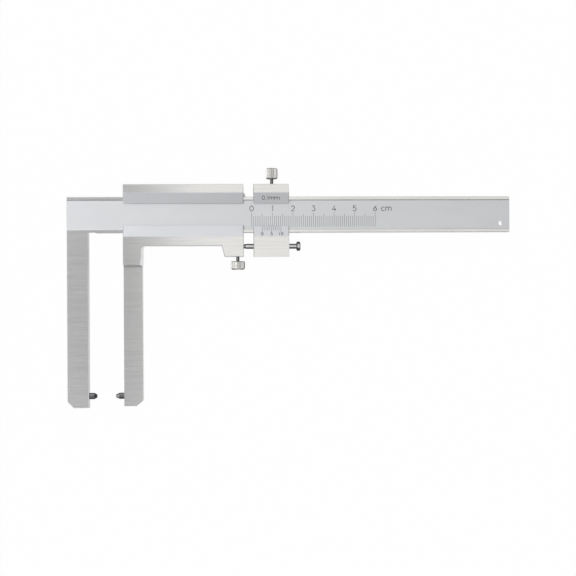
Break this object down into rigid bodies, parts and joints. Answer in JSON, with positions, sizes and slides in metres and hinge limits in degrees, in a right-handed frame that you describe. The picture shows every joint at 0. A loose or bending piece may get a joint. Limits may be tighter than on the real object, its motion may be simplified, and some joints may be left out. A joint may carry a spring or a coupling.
{
  "type": "brake disc vernier caliper",
  "caption": "Steel vernier caliper with long pin-tipped jaws for brake discs, a slider, a separate vernier block, a stop rod and knurled clamp screws.",
  "frame": {"origin": "centre of the fixed measuring pin's contact face", "axes": "+X along the beam towards its free end, +Y from the jaw tips up to the beam, +Z out of the graduated face; the caliper lies flat on its back"},
  "size_m": [0.2147, 0.1151, 0.0081],
  "materials": {
    "ground_steel": "ground faces with satin channel and bevels",
    "hardened_pin": "fine ground, hardened",
    "spring_leaf": "rolled spring strip",
    "grub_screw": "turned",
    "bright_rod": "turned and polished",
    "nickel_screw": "bright nickel, straight knurl",
    "brass_pad": "turned"
  },
  "bodies": {
    "beam": {"beam": "ground_steel", "fixed_measuring_pin": "hardened_pin"},
    "slider": {"slider_body": "ground_steel", "moving_measuring_pin": "hardened_pin", "slider_gib": "spring_leaf", "gib_screw_left": "grub_screw", "gib_screw_right": "grub_screw"},
    "stop_rod": {"stop_rod": "bright_rod"},
    "slider_clamp_pad": {"slider_clamp_pad": "brass_pad"},
    "slider_clamp_screw": {"slider_clamp_screw": "nickel_screw"},
    "vernier_block": {"vernier_block": "ground_steel", "block_gib": "spring_leaf"},
    "block_clamp_pad": {"block_clamp_pad": "brass_pad"},
    "block_clamp_screw": {"block_clamp_screw": "nickel_screw"}
  },
  "joints": [
    {"name": "slider_slide", "type": "slide", "parent": "beam", "child": "slider", "axis": [1, 0, 0], "range_m": [-0.009, 0.051]},
    {"name": "rod_slide", "type": "slide", "parent": "slider", "child": "stop_rod", "axis": [1, 0, 0], "range_m": [0, 0.005]},
    {"name": "block_slide", "type": "slide", "parent": "slider", "child": "vernier_block", "axis": [1, 0, 0], "range_m": [-0.00385, 0.00355]},
    {"name": "slider_clamp_travel", "type": "slide", "parent": "slider", "child": "slider_clamp_pad", "axis": [0, -1, 0], "range_m": [0, 0.0008]},
    {"name": "slider_clamp_turn", "type": "hinge", "parent": "slider_clamp_pad", "child": "slider_clamp_screw", "pos_m": [0.0679, 0.0625, 0], "axis": [0, -1, 0], "range_deg": [0, 720]},
    {"name": "block_clamp_travel", "type": "slide", "parent": "vernier_block", "child": "block_clamp_pad", "axis": [0, 1, 0], "range_m": [0, 0.0008]},
    {"name": "block_clamp_turn", "type": "hinge", "parent": "block_clamp_pad", "child": "block_clamp_screw", "pos_m": [0.0845, 0.107, 0], "axis": [0, 1, 0], "range_deg": [0, 720]}
  ],
  "couplings": [
    {"joint": "slider_clamp_turn", "follows": "slider_clamp_travel", "rad_per_m": 15708},
    {"joint": "block_clamp_turn", "follows": "block_clamp_travel", "rad_per_m": 15708}
  ]
}
